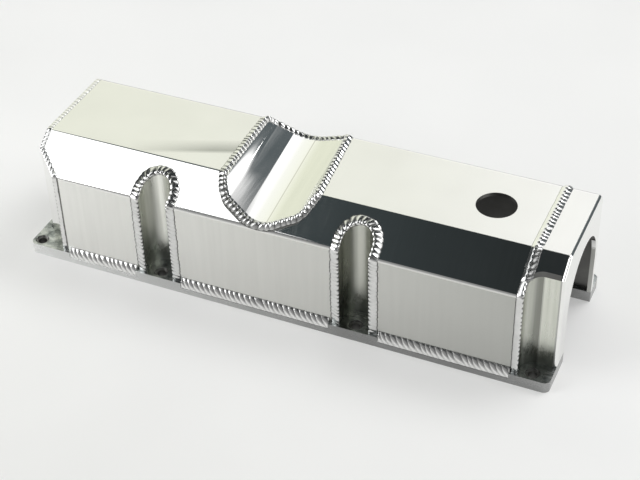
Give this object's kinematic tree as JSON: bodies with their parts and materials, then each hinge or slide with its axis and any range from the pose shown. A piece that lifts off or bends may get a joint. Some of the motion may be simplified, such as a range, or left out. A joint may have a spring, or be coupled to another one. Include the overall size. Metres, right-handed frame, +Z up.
{
  "type": "engine valve cover",
  "caption": "Long fabricated aluminium valve cover with weld-beaded bolt pockets, a saddle across its top, a filler hole and an arched open end.",
  "frame": {"origin": "middle of the flange's underside", "axes": "+X along the flange towards the arched open end, +Y from the wall with the bolt pockets to the plain rear wall, +Z up away from the cylinder head"},
  "size_m": [0.44, 0.134, 0.105],
  "materials": {
    "flange_plate": "satin machined plate",
    "polished_sheet": "polished, with faint brushing on the front wall and top",
    "weld": "bright rippled weld metal"
  },
  "bodies": {
    "root": {"base_flange": "flange_plate", "cover_shell": "polished_sheet", "saddle_panel": "polished_sheet", "bolt_pocket_left": "polished_sheet", "bolt_pocket_right": "polished_sheet", "left_end_cap": "polished_sheet", "end_hood": "polished_sheet", "end_corner_panel": "polished_sheet", "arch_end_plate": "polished_sheet", "weld_saddle_rim": "weld", "weld_pocket_left": "weld", "weld_pocket_right": "weld", "weld_end_seam": "weld", "weld_left_cap": "weld", "weld_front_left": "weld", "weld_front_middle": "weld", "weld_front_right": "weld", "weld_rear": "weld", "weld_rear_end": "weld", "weld_left": "weld"}
  },
  "joints": []
}
